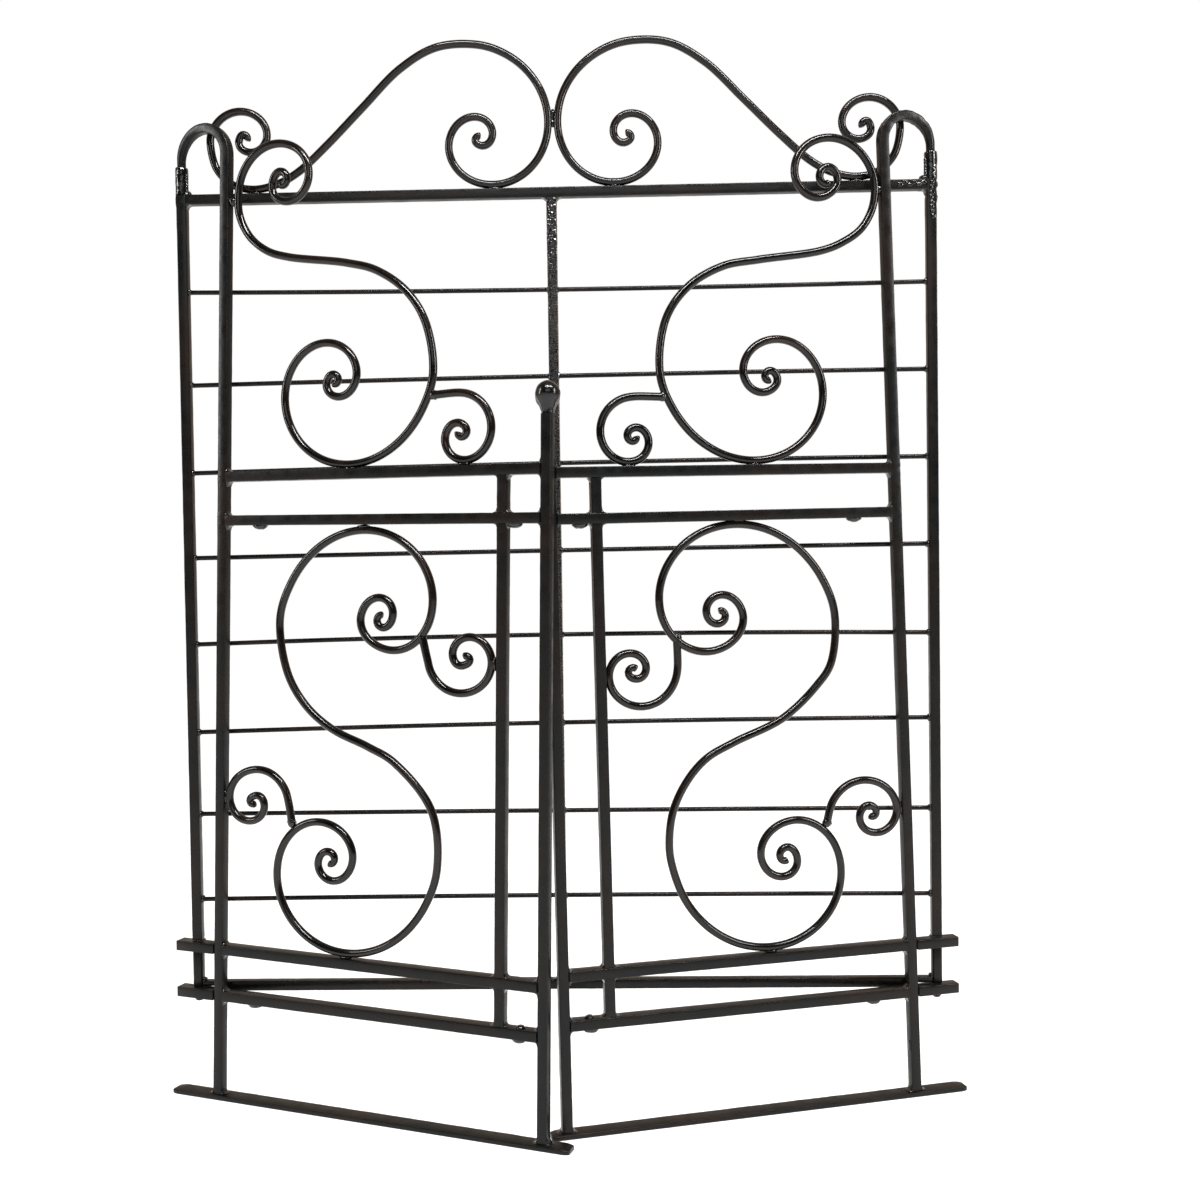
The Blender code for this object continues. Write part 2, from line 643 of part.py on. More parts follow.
def centre_over_origin(roots):
    """Moves the whole gate so that the middle of its plan box is at x = y = 0."""
    bpy.context.view_layer.update()
    depsgraph = bpy.context.evaluated_depsgraph_get()
    xs, ys = [], []
    for thing in bpy.context.scene.objects:
        if thing.type == "EMPTY" or thing.hide_render:
            continue
        solid = thing.evaluated_get(depsgraph)
        for vertex in solid.to_mesh().vertices:
            place = thing.matrix_world @ vertex.co
            xs.append(place.x)
            ys.append(place.y)
        solid.to_mesh_clear()
    shift = Vector(((min(xs) + max(xs)) / 2, (min(ys) + max(ys)) / 2, 0))
    for root in roots:
        root.location -= shift
    print("hinge axes", [tuple(round(c, 5) for c in root.location) for root in roots])


clear_scene()
centre_over_origin([build_back_frame(), build_leaf(LEFT), build_leaf(RIGHT)])
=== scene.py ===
"""The looks of the scrolled garden gate: forged bars, rods, welds and black enamel, around the CAD frame."""

import json
from math import cos, pi, radians, sin, sqrt

import bmesh
import bpy
from mathutils import Matrix, Vector, noise

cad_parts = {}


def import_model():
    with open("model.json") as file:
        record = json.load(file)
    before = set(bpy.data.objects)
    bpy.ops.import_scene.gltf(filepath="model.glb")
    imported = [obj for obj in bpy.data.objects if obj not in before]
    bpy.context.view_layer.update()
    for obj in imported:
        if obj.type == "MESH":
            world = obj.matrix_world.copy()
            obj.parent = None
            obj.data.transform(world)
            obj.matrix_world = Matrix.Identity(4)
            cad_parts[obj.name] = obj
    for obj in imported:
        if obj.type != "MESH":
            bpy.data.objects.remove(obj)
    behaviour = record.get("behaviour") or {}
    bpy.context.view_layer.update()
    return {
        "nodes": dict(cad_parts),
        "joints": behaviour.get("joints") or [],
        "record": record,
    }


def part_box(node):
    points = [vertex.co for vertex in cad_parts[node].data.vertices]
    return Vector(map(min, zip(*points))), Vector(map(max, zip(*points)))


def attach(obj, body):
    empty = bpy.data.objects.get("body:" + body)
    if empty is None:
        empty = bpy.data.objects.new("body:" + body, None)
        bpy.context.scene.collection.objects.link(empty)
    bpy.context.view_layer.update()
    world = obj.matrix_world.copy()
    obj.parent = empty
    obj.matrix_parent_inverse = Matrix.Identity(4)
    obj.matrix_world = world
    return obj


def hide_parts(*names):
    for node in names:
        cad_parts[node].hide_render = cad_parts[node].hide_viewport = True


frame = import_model()

# The design's own sizes, in metres, as in the CAD part
ROD = 0.010
HALF_BAR = 0.00635
RAIL_HALF_DEPTH = 0.008
LEFT, RIGHT = -1, 1
SIDE_NAME = {LEFT: "left", RIGHT: "right"}
REST_ANGLE = {LEFT: radians(-19.34), RIGHT: radians(15.54)}
LEAF_FORWARD = 0.0055
HINGE_POST_U = {LEFT: 0.0328, RIGHT: 0.0343}
STILE_U = {LEFT: 0.4902, RIGHT: 0.4924}
HINGE_POST_LEAN = {LEFT: 0.0343, RIGHT: 0.0287}
STILE_LEAN = {LEFT: 0.0225, RIGHT: 0.0117}
GRID_U = (0.0335, 0.4910)
GRID_LEAN = (0.0315, 0.0170)
CROOK_SPRING_Z = 1.211
SPIGOT_RADIUS = 0.0048
RUNG_RADIUS = 0.003
BOTTOM_RAIL_NOTCH = 0.030

# Sizes that only the looks need
SOCKET_RADIUS = 0.0082
SOCKET_BORE = 0.0053
BALL_RADIUS = 0.0148
BALL_SIDES = 28
SOCKET_SIDES = 30
FOOT_HALF_WIDTH = 0.0109
FOOT_EDGE = 0.0012
CROOK_BENDS = 40
SPIGOT_DEPTH = 0.028

# Finish
EDGE = 0.0013
RING_STEP = 0.009
FINE_STEP = 0.0022
WELD_REACH = 0.016
ROD_STEP = 0.0024
ROD_SIDES = 14
FORGE_WOBBLE = 0.00016
ROD_WOBBLE = 0.00005
CROOK_WOBBLE = {LEFT: 0.0003, RIGHT: 0.0011}
BALL_WOBBLE = 0.00055
FOOT_WOBBLE = 0.00022

# Weld metal: how far a fillet runs out of its corner, and the half sizes of the beads
FRAME_FILLET = 0.0060
CENTRE_BAR_FILLET = 0.0065
RAIL_FILLET = 0.0062
UPRIGHT_FILLET = 0.0058
FLAT_BEAD = (0.0090, 0.0046, 0.0021)
SIDE_BEAD = (0.0024, 0.0046, 0.0090)
JOIN_BEAD = (0.0062, 0.0052, 0.0062)
BEAD_OFFSET = 0.0046
SEAT_BEAD = (0.0085, 0.0046, 0.0022)

NODES = frame["nodes"]
SLOT_OF = {part["node"]: part["material_slot"] for part in frame["record"]["subparts"]}
BODIES = frame["record"]["behaviour"]["bodies"]
BODY_OF = {node: body for body, members in BODIES.items() for node in members}
HINGE = {joint["child"]: Vector(joint["pos_m"]) for joint in frame["joints"]}
BACK = "back_frame"
X, Y, Z = Vector((1, 0, 0)), Vector((0, 1, 0)), Vector((0, 0, 1))


def leaf_body(side):
    return SIDE_NAME[side] + "_leaf"


# Materials -------------------------------------------------------------------------------------

def node_of(tree, kind, **values):
    made = tree.nodes.new(kind)
    for name, value in values.items():
        if hasattr(made, name):
            setattr(made, name, value)
        else:
            made.inputs[name.replace("_", " ")].default_value = value
    return made


def enamel(name, dark, warm, gloss, grain, lumps, spatter=0.0, wet=0.0):
    """Black enamel: brown where it is thin, duller where it is worn, brush-marked, lumpy over welds."""
    material = bpy.data.materials.new(name)
    material.use_nodes = True
    tree = material.node_tree
    link = tree.links.new
    shader = tree.nodes["Principled BSDF"]
    shader.inputs["Metallic"].default_value = 0.0
    shader.inputs["IOR"].default_value = 1.42
    shader.inputs["Specular IOR Level"].default_value = 0.28
    shader.inputs["Coat Weight"].default_value = wet
    shader.inputs["Coat Roughness"].default_value = 0.06
    place = node_of(tree, "ShaderNodeTexCoord").outputs["Object"]

    cloud = node_of(tree, "ShaderNodeTexNoise", Scale=9.0, Detail=5.0, Roughness=0.62)
    link(place, cloud.inputs["Vector"])
    tint = node_of(tree, "ShaderNodeValToRGB")
    tint.color_ramp.elements[0].position = 0.42
    tint.color_ramp.elements[0].color = (*dark, 1)
    tint.color_ramp.elements[1].position = 0.72
    tint.color_ramp.elements[1].color = (*warm, 1)
    link(cloud.outputs["Fac"], tint.inputs["Fac"])
    link(tint.outputs["Color"], shader.inputs["Base Color"])

    wear = node_of(tree, "ShaderNodeTexNoise", Scale=55.0, Detail=4.0, Roughness=0.6)
    link(place, wear.inputs["Vector"])
    dull = node_of(tree, "ShaderNodeMapRange")
    dull.inputs["From Min"].default_value = 0.35
    dull.inputs["From Max"].default_value = 0.70
    dull.inputs["To Min"].default_value = gloss
    dull.inputs["To Max"].default_value = gloss + 0.16
    link(wear.outputs["Fac"], dull.inputs["Value"])
    link(dull.outputs["Result"], shader.inputs["Roughness"])

    fine = node_of(tree, "ShaderNodeTexNoise", Scale=420.0, Detail=3.0, Roughness=0.55)
    coarse = node_of(tree, "ShaderNodeTexNoise", Scale=95.0, Detail=2.0, Roughness=0.5)
    link(place, fine.inputs["Vector"])
    link(place, coarse.inputs["Vector"])
    under = node_of(tree, "ShaderNodeBump", Strength=lumps, Distance=0.0012)
    over = node_of(tree, "ShaderNodeBump", Strength=grain, Distance=0.0003)
    link(coarse.outputs["Fac"], under.inputs["Height"])
    link(fine.outputs["Fac"], over.inputs["Height"])
    link(under.outputs["Normal"], over.inputs["Normal"])
    last = over
    if spatter:
        drops = node_of(tree, "ShaderNodeTexVoronoi", feature="SMOOTH_F1", Scale=330.0, Smoothness=0.3)
        link(place, drops.inputs["Vector"])
        last = node_of(tree, "ShaderNodeBump", invert=True, Strength=spatter, Distance=0.0010)
        link(drops.outputs["Distance"], last.inputs["Height"])
        link(over.outputs["Normal"], last.inputs["Normal"])
    link(last.outputs["Normal"], shader.inputs["Normal"])
    link(last.outputs["Normal"], shader.inputs["Coat Normal"])
    return material


INK = (0.0012, 0.0013, 0.0013)
SOOT = (0.0036, 0.0042, 0.0041)
UMBER = (0.0110, 0.0066, 0.0048)
PAINTS = {
    "frame_paint": enamel("enamel_on_frame", SOOT, UMBER, 0.24, 0.06, 0.08),
    "rung_paint": enamel("enamel_on_rungs", INK, UMBER, 0.24, 0.05, 0.05),
    "socket_paint": enamel("enamel_on_sockets", INK, SOOT, 0.14, 0.10, 0.50, spatter=0.45, wet=1.0),
    "pin_paint": enamel("enamel_on_pins", SOOT, UMBER, 0.30, 0.15, 0.20),
    "leaf_paint": enamel("enamel_on_leaves", SOOT, UMBER, 0.24, 0.06, 0.07),
    "scroll_paint": enamel("enamel_on_scrolls", INK, UMBER, 0.13, 0.015, 0.025, wet=0.35),
    "finial_paint": enamel("enamel_on_finials", INK, SOOT, 0.18, 0.08, 0.35, spatter=0.10, wet=0.5),
    "foot_paint": enamel("enamel_on_feet", SOOT, UMBER, 0.32, 0.20, 0.15),
}
CENTRE_BAR_PAINT = enamel("spattered_enamel", INK, UMBER, 0.16, 0.08, 0.40, spatter=1.0, wet=1.0)
WELD_PAINT = enamel("enamel_over_welds", INK, SOOT, 0.15, 0.08, 0.40, spatter=0.15, wet=0.7)


# Pieces ----------------------------------------------------------------------------------------

def place_piece(name, mesh, body, slot, material, *nodes):
    piece = bpy.data.objects.new(name, mesh)
    bpy.context.scene.collection.objects.link(piece)
    mesh.materials.clear()
    mesh.materials.append(material)
    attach(piece, body)
    if nodes:
        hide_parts(*nodes)
    return piece


def stand_for(node, mesh, material=None):
    """The finished piece in place of one CAD node."""
    slot = SLOT_OF[node]
    return place_piece(node + "_iron", mesh, BODY_OF[node], slot, material or PAINTS[slot], node)


def skin(name, rings, ring_shaped=False):
    """One smooth skin over rings of equal length."""
    bm = bmesh.new()
    rows = [[bm.verts.new(point) for point in ring] for ring in rings]
    spans = list(zip(rows, rows[1:]))
    if ring_shaped:
        spans.append((rows[-1], rows[0]))
    else:
        bm.faces.new(rows[0])
        bm.faces.new(rows[-1])
    for first, second in spans:
        for i in range(len(first)):
            j = (i + 1) % len(first)
            bm.faces.new((first[i], first[j], second[j], second[i]))
    return mesh_of(name, bm)


def mesh_of(name, bm, sharp=radians(60)):
    bmesh.ops.recalc_face_normals(bm, faces=bm.faces)
    mesh = bpy.data.meshes.new(name)
    bm.to_mesh(mesh)
    bm.free()
    mesh.shade_smooth()
    mesh.set_sharp_from_angle(angle=sharp)
    return mesh


def fade(x):
    """1 at 0, smoothly down to 0 at 1."""
    x = min(max(x, 0.0), 1.0)
    return 1 - x * x * (3 - 2 * x)


def forged(point, outward, welds=(), wobble=FORGE_WOBBLE):
    """A surface point moved out or in a little: hammer marks everywhere, lumps near welds."""
    height = wobble * noise.noise(point * 75) + wobble * 0.6 * noise.noise(point * 240)
    for centre, reach, lump in welds:
        near = fade((point - centre).length / reach)
        if near > 0:
            height += lump * near * (0.35 + noise.noise(point * 330))
    return point + outward * height


# Bars ------------------------------------------------------------------------------------------

def bar_section(half_a, half_b, edge=EDGE):
    """A rectangle with rounded edges and a point in the middle of each face, as (a, b, normal)."""
    points = []
    arc = [radians(d) for d in (4, 32, 58, 86)]
    for quarter, (sa, sb) in enumerate(((1, 1), (-1, 1), (-1, -1), (1, -1))):
        for angle in arc:
            turn = angle + quarter * pi / 2
            normal = (cos(turn), sin(turn))
            a = sa * (half_a - edge) + edge * normal[0]
            b = sb * (half_b - edge) + edge * normal[1]
            points.append((a, b, normal))
        turn = (quarter + 1) * pi / 2
        normal = (cos(turn), sin(turn))
        points.append((half_a * normal[0], half_b * normal[1], normal))
    return points


def stations(length, hot):
    """Distances along a bar: far apart on plain lengths, close together near the hot spots."""
    here, places = 0.0, [0.0]
    while here < length:
        near = min((abs(here - spot) for spot in hot), default=1.0)
        here += FINE_STEP if near < WELD_REACH else RING_STEP
        places.append(min(here, length))
    if len(places) > 2 and places[-1] - places[-2] < FINE_STEP / 2:
        places.pop(-2)
    return places


def straight_bar(name, start, end, across, deep, half_a, half_b, lump=(0.0, 0.0), spots=()):
    """A bar from start to end; lump gives how lumpy the weld at each end is, spots those on the way."""
    run = end - start
    length = run.length
    welds = [(start, WELD_REACH, lump[0]), (end, WELD_REACH, lump[1]), *spots]
    welds = [weld for weld in welds if weld[2]]
    hot = [(centre - start).dot(run) / length for centre, reach, size in welds]
    section = bar_section(half_a, half_b)
    rings = []
    for place in stations(length, hot):
        centre = start + run * (place / length)
        ring = []
        for a, b, (na, nb) in section:
            outward = across * na + deep * nb
            ring.append(forged(centre + across * a + deep * b, outward, welds))
        rings.append(ring)
    return skin(name, rings)


END_FACE_DEPTH = 0.002


def ends_of(node, along):
    """The middles of the two end faces of a straight CAD bar, from its vertices."""
    points = [vertex.co.copy() for vertex in NODES[node].data.vertices]
    reach = [point.dot(along) for point in points]
    ends = []
    for end in (min(reach), max(reach)):
        group = [p for p, r in zip(points, reach) if abs(r - end) < END_FACE_DEPTH]
        low = Vector([min(p[i] for p in group) for i in range(3)])
        high = Vector([max(p[i] for p in group) for i in range(3)])
        ends.append((low + high) / 2)
    return ends


# Curves ----------------------------------------------------------------------------------------

def polar(centre, radius, degrees):
    return Vector((centre[0] + radius * cos(radians(degrees)), centre[1] + radius * sin(radians(degrees))))


def cubic_between(a, b, c, d, t):
    """The Catmull-Rom value between b and c."""
    square, cube = 2 * a - 5 * b + 4 * c - d, 3 * b - a - 3 * c + d
    return 0.5 * (2 * b + (c - a) * t + square * t * t + cube * t ** 3)


def coil(centre, start, turn, radii, steps=5):
    """A scroll's end, from the eye outwards: its radius is stated at each quarter turn."""
    ends = [2 * radii[0] - radii[1], *radii, 2 * radii[-1] - radii[-2]]
    points = []
    for quarter in range(len(radii) - 1):
        for step in range(steps):
            t = step / steps
            radius = cubic_between(*ends[quarter:quarter + 4], t)
            points.append(polar(centre, radius, start + turn * 90 * (quarter + t)))
    points.append(polar(centre, radii[-1], start + turn * 90 * (len(radii) - 1)))
    return points


def smooth_through(points, spacing=ROD_STEP):
    """A fine polyline on the centripetal Catmull-Rom curve through the points."""
    ends = [2 * points[0] - points[1], *points, 2 * points[-1] - points[-2]]
    fine = []
    for p0, p1, p2, p3 in zip(ends, ends[1:], ends[2:], ends[3:]):
        k1 = sqrt((p1 - p0).length)
        k2 = k1 + sqrt((p2 - p1).length)
        k3 = k2 + sqrt((p3 - p2).length)
        count = max(1, round((p2 - p1).length / spacing))
        for i in range(count):
            k = k1 + (k2 - k1) * i / count
            a1 = p0 * ((k1 - k) / k1) + p1 * (k / k1)
            a2 = p1 * ((k2 - k) / (k2 - k1)) + p2 * ((k - k1) / (k2 - k1))
            a3 = p2 * ((k3 - k) / (k3 - k2)) + p3 * ((k - k2) / (k3 - k2))
            b1 = a1 * ((k2 - k) / k2) + a2 * (k / k2)
            b2 = a2 * ((k3 - k) / (k3 - k1)) + a3 * ((k - k1) / (k3 - k1))
            fine.append(b1 * ((k2 - k) / (k2 - k1)) + b2 * ((k - k1) / (k2 - k1)))
    fine.append(points[-1].copy())
    return fine


# A coil is its eye's centre and its radius at each quarter turn; a waist joins two coils into an S
LOWER_S_UPPER_COIL = {
    LEFT: ((0.271, 0.623), [0.004, 0.006, 0.011, 0.015, 0.025, 0.030, 0.036, 0.068, 0.105, 0.149]),
    RIGHT: ((0.277, 0.622), [0.004, 0.007, 0.011, 0.017, 0.0235, 0.0306, 0.042, 0.0757, 0.107, 0.1545]),
}
LOWER_S_LOWER_COIL = {
    LEFT: ((0.197, 0.321), [0.004, 0.007, 0.0105, 0.016, 0.025, 0.033, 0.045, 0.075, 0.112, 0.152]),
    RIGHT: ((0.199, 0.318), [0.004, 0.009, 0.012, 0.0135, 0.0235, 0.034, 0.0435, 0.070, 0.108, 0.151]),
}
LOWER_S_WAIST = {
    LEFT: [(0.133, 0.556), (0.160, 0.515), (0.199, 0.486), (0.252, 0.465), (0.289, 0.447), (0.341, 0.391)],
    RIGHT: [(0.1295, 0.558), (0.150, 0.5305), (0.198, 0.491), (0.264, 0.464), (0.3005, 0.446),
            (0.3265, 0.420), (0.346, 0.384), (0.3525, 0.345)],
}
TOP_S_UPPER_COIL = {
    LEFT: ((0.120, 1.167), [0.004, 0.009, 0.0125, 0.0125, 0.023, 0.042, 0.047, 0.064]),
    RIGHT: ((0.1087, 1.1587), [0.004, 0.012, 0.0155, 0.0125, 0.0175, 0.046, 0.0515, 0.0643]),
}
TOP_S_LOWER_COIL = {
    LEFT: ((0.201, 0.915), [0.003, 0.006, 0.0085, 0.0105, 0.018, 0.032, 0.046, 0.071, 0.1003, 0.141]),
    RIGHT: ((0.1996, 0.9121),
            [0.003, 0.006, 0.0085, 0.0105, 0.0158, 0.0341, 0.0458, 0.0704, 0.0988, 0.1445]),
}
TOP_S_WAIST = {
    LEFT: [(0.056, 1.135), (0.072, 1.105), (0.099, 1.084), (0.132, 1.073), (0.218, 1.058),
           (0.262, 1.045), (0.305, 1.016), (0.332, 0.976)],
    RIGHT: [(0.048, 1.129), (0.065, 1.101), (0.092, 1.0825), (0.123, 1.0705), (0.210, 1.0557),
            (0.257, 1.046), (0.3045, 1.019), (0.335, 0.978)],
}
SMALL_UPPER_COIL = {
    LEFT: ((0.386, 0.574), [0.004, 0.007, 0.0065, 0.015, 0.026, 0.036, 0.040, 0.051]),
    RIGHT: ((0.388, 0.555), [0.004, 0.0095, 0.0085, 0.0125, 0.0215, 0.0336, 0.0416, 0.0533]),
}
SMALL_UPPER_END = {LEFT: (0.328, 0.601), RIGHT: (0.334, 0.594)}
SMALL_LOWER_COIL = {
    LEFT: ((0.084, 0.390), [0.004, 0.007, 0.0065, 0.014, 0.025, 0.038, 0.040, 0.052]),
    RIGHT: ((0.0827, 0.3653), [0.003, 0.008, 0.0105, 0.0145, 0.0236, 0.0367, 0.0423, 0.0581]),
}
SMALL_LOWER_END = {LEFT: (0.141, 0.365), RIGHT: (0.143, 0.357)}
MID_C_COIL = {
    LEFT: ((0.380, 0.8435), [0.003, 0.005, 0.008, 0.011, 0.020, 0.032, 0.041, 0.047]),
    RIGHT: ((0.3808, 0.8373), [0.003, 0.005, 0.008, 0.011, 0.018, 0.0288, 0.042, 0.0482]),
}
MID_C_END = {LEFT: (0.343, 0.890), RIGHT: (0.342, 0.886)}


def s_path(upper_coil, waist, lower_coil, upper_start):
    """An S: each coil starts at its eye, with its first radius pointing straight up or down."""
    upper = coil(upper_coil[0], upper_start, 1, upper_coil[1])
    lower = coil(lower_coil[0], -90, 1, lower_coil[1])
    return smooth_through(upper + [Vector(p) for p in waist] + lower[::-1])


def c_path(small_coil, end, start, turn):
    """A single coil run out to the scroll it is welded to."""
    return smooth_through(coil(small_coil[0], start, turn, small_coil[1]) + [Vector(end)])


def pediment_path():
    inner = coil((-0.094, 1.232), 90, 1, [0.004, 0.006, 0.0075, 0.015, 0.028, 0.039, 0.056, 0.0855, 0.120])
    outer = coil((-0.398, 1.238), 0, 1, [0.004, 0.007, 0.0065, 0.014, 0.029, 0.036, 0.044])
    slope = [(-0.148, 1.350), (-0.195, 1.324), (-0.245, 1.275), (-0.291, 1.229), (-0.328, 1.196),
             (-0.355, 1.181), (-0.385, 1.1745), (-0.412, 1.180), (-0.434, 1.201)]
    return smooth_through(inner + [Vector(p) for p in slope] + outer[::-1])


EYE_TAPER = 0.026
EYE_RADIUS = 0.0046


def rod(name, path, across_plane, eyes, welds, radius=ROD / 2):
    """A forged round rod along points in space, drawn down towards its eyes."""
    lengths = [0.0]
    for before, here in zip(path, path[1:]):
        lengths.append(lengths[-1] + (here - before).length)
    total = lengths[-1]
    rings = []
    for i, centre in enumerate(path):
        ahead = path[min(i + 1, len(path) - 1)] - path[max(i - 1, 0)]
        tangent = ahead.normalized()
        side = tangent.cross(across_plane).normalized()
        size = radius
        for at_start, far in ((True, lengths[i]), (False, total - lengths[i])):
            if eyes[0 if at_start else 1]:
                size = min(size, EYE_RADIUS + (radius - EYE_RADIUS) * (1 - fade(far / EYE_TAPER)))
        ring = []
        for k in range(ROD_SIDES):
            angle = 2 * pi * k / ROD_SIDES
            outward = side * cos(angle) + across_plane * sin(angle)
            ring.append(forged(centre + outward * size, outward, welds, ROD_WOBBLE))
        rings.append(ring)
    for at, inner in ((0, rings[0]), (-1, rings[-1])):
        tip = path[at]
        away = (path[0] - path[1] if at == 0 else path[-1] - path[-2]).normalized()
        cap = []
        for scale, push in ((0.86, 0.0007), (0.5, 0.0013)):
            cap.append([tip + (p - tip) * scale + away * push for p in inner])
        if at == 0:
            rings = cap[::-1] + rings
        else:
            rings = rings + cap
    return skin(name, rings)


# Welds -----------------------------------------------------------------------------------------

class WeldMetal:
    """All the weld metal and spatter of one body, in one mesh."""

    def __init__(self):
        self.bm = bmesh.new()

    def blob(self, centre, radii, axes=None, rough=0.25):
        """A lump: an ellipsoid whose surface runs unevenly."""
        axes = axes or (X, Y, Z)
        rows, columns = 7, 12
        rings = []
        for row in range(1, rows):
            tilt = pi * row / rows - pi / 2
            ring = []
            for column in range(columns):
                turn = 2 * pi * column / columns
                way = (cos(tilt) * cos(turn), cos(tilt) * sin(turn), sin(tilt))
                offset = sum((axis * (r * w) for axis, r, w in zip(axes, radii, way)), Vector())
                place = centre + offset
                swell = 1 + rough * noise.noise(place * 260) + rough * 0.5 * noise.noise(place * 700)
                ring.append(self.bm.verts.new(centre + offset * swell))
            rings.append(ring)
        for first, second in zip(rings, rings[1:]):
            for i in range(columns):
                j = (i + 1) % columns
                self.bm.faces.new((first[i], first[j], second[j], second[i]))
        self.bm.faces.new(rings[0])
        self.bm.faces.new(rings[-1])

    def fillet(self, corner, back, out, deep, half_deep, size):
        """Weld metal in the inside corner between two bars: a hollow curve, uneven along its length."""
        half_rows = [(-1.0, 0.55), (-0.86, 0.92), (-0.45, 1.0)]
        rows = [*half_rows, (0.0, 1.05), *((-depth, scale) for depth, scale in reversed(half_rows))]
        arc = [radians(90 * k / 6) for k in range(7)]
        rings = []
        for depth, scale in rows:
            base = corner + deep * (depth * half_deep)
            reach = size * scale * (1 + 0.30 * noise.noise(base * 300))
            ring = [base - back * 0.0007 - out * 0.0007]
            for angle in arc:
                run = reach * (1 - sin(angle))
                rise = reach * (1 - cos(angle))
                point = base + back * run + out * rise
                swell = 0.0004 * noise.noise(point * 420)
                ring.append(point + (back + out) * swell)
            rings.append([self.bm.verts.new(point) for point in ring])
        for first, second in zip(rings, rings[1:]):
            for i in range(len(first)):
                j = (i + 1) % len(first)
                self.bm.faces.new((first[i], first[j], second[j], second[i]))
        self.bm.faces.new(rings[0])
        self.bm.faces.new(rings[-1])

    def corner_pair(self, end, outward, across, deep, half_a, half_b, size):
        """Fillets on both sides of a bar's end, where it butts against another bar."""
        for side in (1, -1):
            corner = end + across * (side * half_a)
            self.fillet(corner, -outward, across * side, deep, half_b, size)

    def finish(self, name, body, slot):
        place_piece(name, mesh_of(name, self.bm, radians(75)), body, slot, WELD_PAINT)


# Back frame ------------------------------------------------------------------------------------

BAR_WELD = 0.0007
SCROLL_WELD_Z = 1.150


def back_frame_pieces():
    welds = WeldMetal()
    frame_slot = SLOT_OF["back_top_rail"]
    lumpy = {LEFT: 0.0009, RIGHT: 0.0018}

    for side in (LEFT, RIGHT):
        tag = SIDE_NAME[side]
        low, high = ends_of("back_post_" + tag, Z)
        spots = [(high - Z * 0.012, 0.050, lumpy[side])]
        mesh = straight_bar("post", low, high, X, Y, HALF_BAR, HALF_BAR, (BAR_WELD, lumpy[side]), spots)
        stand_for("back_post_" + tag, mesh)

    left, right = ends_of("back_top_rail", X)
    lump = (lumpy[LEFT], lumpy[RIGHT])
    stand_for("back_top_rail", straight_bar("top_rail", left, right, Z, Y, HALF_BAR, HALF_BAR, lump))
    for end, outward in ((left, -X), (right, X)):
        welds.corner_pair(end, outward, Z, Y, HALF_BAR, HALF_BAR, FRAME_FILLET)
    notched_rail("back_bottom_rail")

    low, high = ends_of("back_centre_bar", Z)
    spots = [(high - Z * drop, 0.020, 0.0009) for drop in (0.01, 0.03, 0.05)]
    spots.append((low + Z * 0.01, 0.014, 0.0006))
    bar = straight_bar("centre_bar", low, high, X, Y, HALF_BAR, HALF_BAR, (BAR_WELD, 0.0012), spots)
    stand_for("back_centre_bar", bar, CENTRE_BAR_PAINT)
    welds.corner_pair(high, Z, X, Y, HALF_BAR, HALF_BAR, CENTRE_BAR_FILLET)
    welds.corner_pair(low, -Z, X, Y, HALF_BAR, HALF_BAR, FRAME_FILLET)

    centre_x = (low.x + high.x) / 2
    for node in sorted(node for node in NODES if node.startswith("back_rung_")):
        line = centre_line(node)
        stand_for(node, rod(node, smooth_through(line, 0.012), Y, (False, False), (), RUNG_RADIUS))
        for end in (line[0], line[-1]):
            welds.blob(end - Y * 0.0005, (0.0034, 0.0048, 0.0046), rough=0.3)
        middle = min(line, key=lambda p: abs(p.x - centre_x))
        for x in (centre_x - HALF_BAR, centre_x + HALF_BAR):
            welds.blob(Vector((x, middle.y, middle.z)), (0.0022, 0.0042, 0.0042), rough=0.3)

    middle_y = HINGE["left_leaf"].y
    for side in (LEFT, RIGHT):
        node = "pediment_scroll_" + SIDE_NAME[side]
        flat = pediment_path()
        shift = (HINGE["left_leaf"].x + HINGE["right_leaf"].x) / 2
        path = [Vector((shift - side * p.x, middle_y, p.y)) for p in flat]
        rail_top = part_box("back_top_rail")[1].z
        lowest = min(path, key=lambda p: p.z)
        stand_for(node, rod(node, path, Y, (True, True), [(lowest, 0.012, 0.0006)]))
        for nearest, farthest in ((0.0, 0.2), (0.3, 0.5)):
            seat = min((p for p in flat if nearest < -p.x < farthest), key=lambda p: p.y)
            place = Vector((shift - side * seat.x, middle_y, rail_top + 0.0008))
            welds.blob(place, SEAT_BEAD)
    welds.blob(Vector((shift, middle_y, 1.2600)), (0.0034, 0.0040, 0.0085), rough=0.3)
    welds.blob(Vector((shift, middle_y, 1.2500)), (0.0024, 0.0032, 0.0060), rough=0.3)

    for side in (LEFT, RIGHT):
        socket(side, welds, lumpy[side])
        eased_copy("lower_pivot_" + SIDE_NAME[side], 0.0005)
        base = Vector((HINGE[leaf_body(side)].x, middle_y, 0))
        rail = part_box("back_bottom_rail")
        welds.blob(base + Z * (rail[1].z + 0.001) - X * side * 0.0068, (0.0040, 0.0050, 0.0035))
    welds.finish("back_frame_welds", BACK, frame_slot)


def centre_line(node):
    """The middles of the rings of a CAD rod that runs across the frame."""
    rings = {}
    for vertex in NODES[node].data.vertices:
        rings.setdefault(round(vertex.co.x, 3), []).append(vertex.co)
    line = []
    for x, ring in sorted(rings.items()):
        low_z, high_z = min(p.z for p in ring), max(p.z for p in ring)
        low_y, high_y = min(p.y for p in ring), max(p.y for p in ring)
        line.append(Vector((x, (low_y + high_y) / 2, (low_z + high_z) / 2)))
    return line


